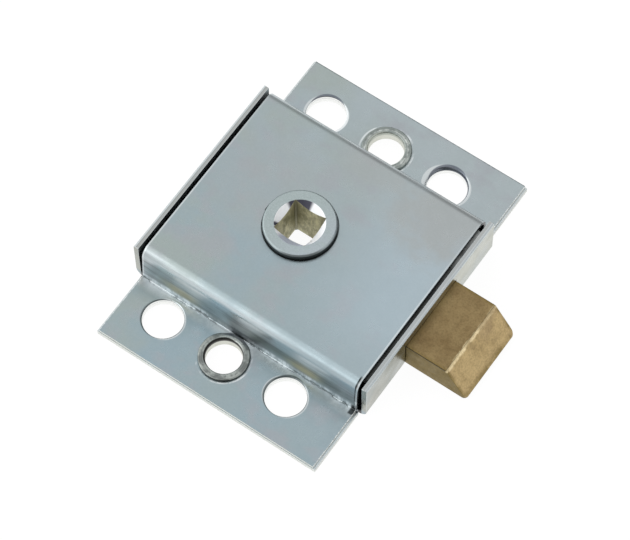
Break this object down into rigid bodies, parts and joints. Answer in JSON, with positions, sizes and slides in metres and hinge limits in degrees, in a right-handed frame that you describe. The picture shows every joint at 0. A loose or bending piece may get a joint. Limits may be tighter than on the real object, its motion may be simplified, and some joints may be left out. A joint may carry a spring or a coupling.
{
  "type": "slam lock",
  "caption": "Flanged sheet steel slam lock with a bevelled brass spring bolt drawn in by a square key through the follower in its cover.",
  "frame": {"origin": "middle of the four fixing holes, on the back face of the plate", "axes": "+X the way the bolt throws, +Y along the plate from the front flange to the rear one, +Z out of the back face toward the cover"},
  "size_m": [0.0748, 0.0804, 0.0141],
  "materials": {
    "zinc_plated_steel": "satin bright zinc plate",
    "eyelet_steel": "dull rolled steel",
    "turned_steel": "plated steel",
    "brass": "dull sawn brass",
    "spring_steel": "drawn wire"
  },
  "bodies": {
    "case": {"base_plate": "zinc_plated_steel", "cover": "zinc_plated_steel", "front_eyelet": "eyelet_steel", "rear_eyelet": "eyelet_steel", "front_spring": "spring_steel", "rear_spring": "spring_steel", "front_spring_guide": "turned_steel", "rear_spring_guide": "turned_steel"},
    "follower": {"follower": "turned_steel", "follower_cam": "turned_steel"},
    "bolt": {"bolt": "brass", "bolt_slide": "zinc_plated_steel", "front_rivet": "turned_steel", "rear_rivet": "turned_steel"}
  },
  "joints": [
    {"name": "follower_turn", "type": "hinge", "parent": "case", "child": "follower", "pos_m": [-0.0015, 0, 0], "axis": [0, 0, 1], "range_deg": [0, 74]},
    {"name": "bolt_draw", "type": "slide", "parent": "case", "child": "bolt", "axis": [-1, 0, 0], "range_m": [0, 0.0152], "stiffness_N_per_m": 1400, "springref_m": -0.0055, "deforming": ["front_spring", "rear_spring"]}
  ],
  "couplings": [
    {"joint": "follower_turn", "follows": "bolt_draw", "rad_per_m": 84.96}
  ]
}
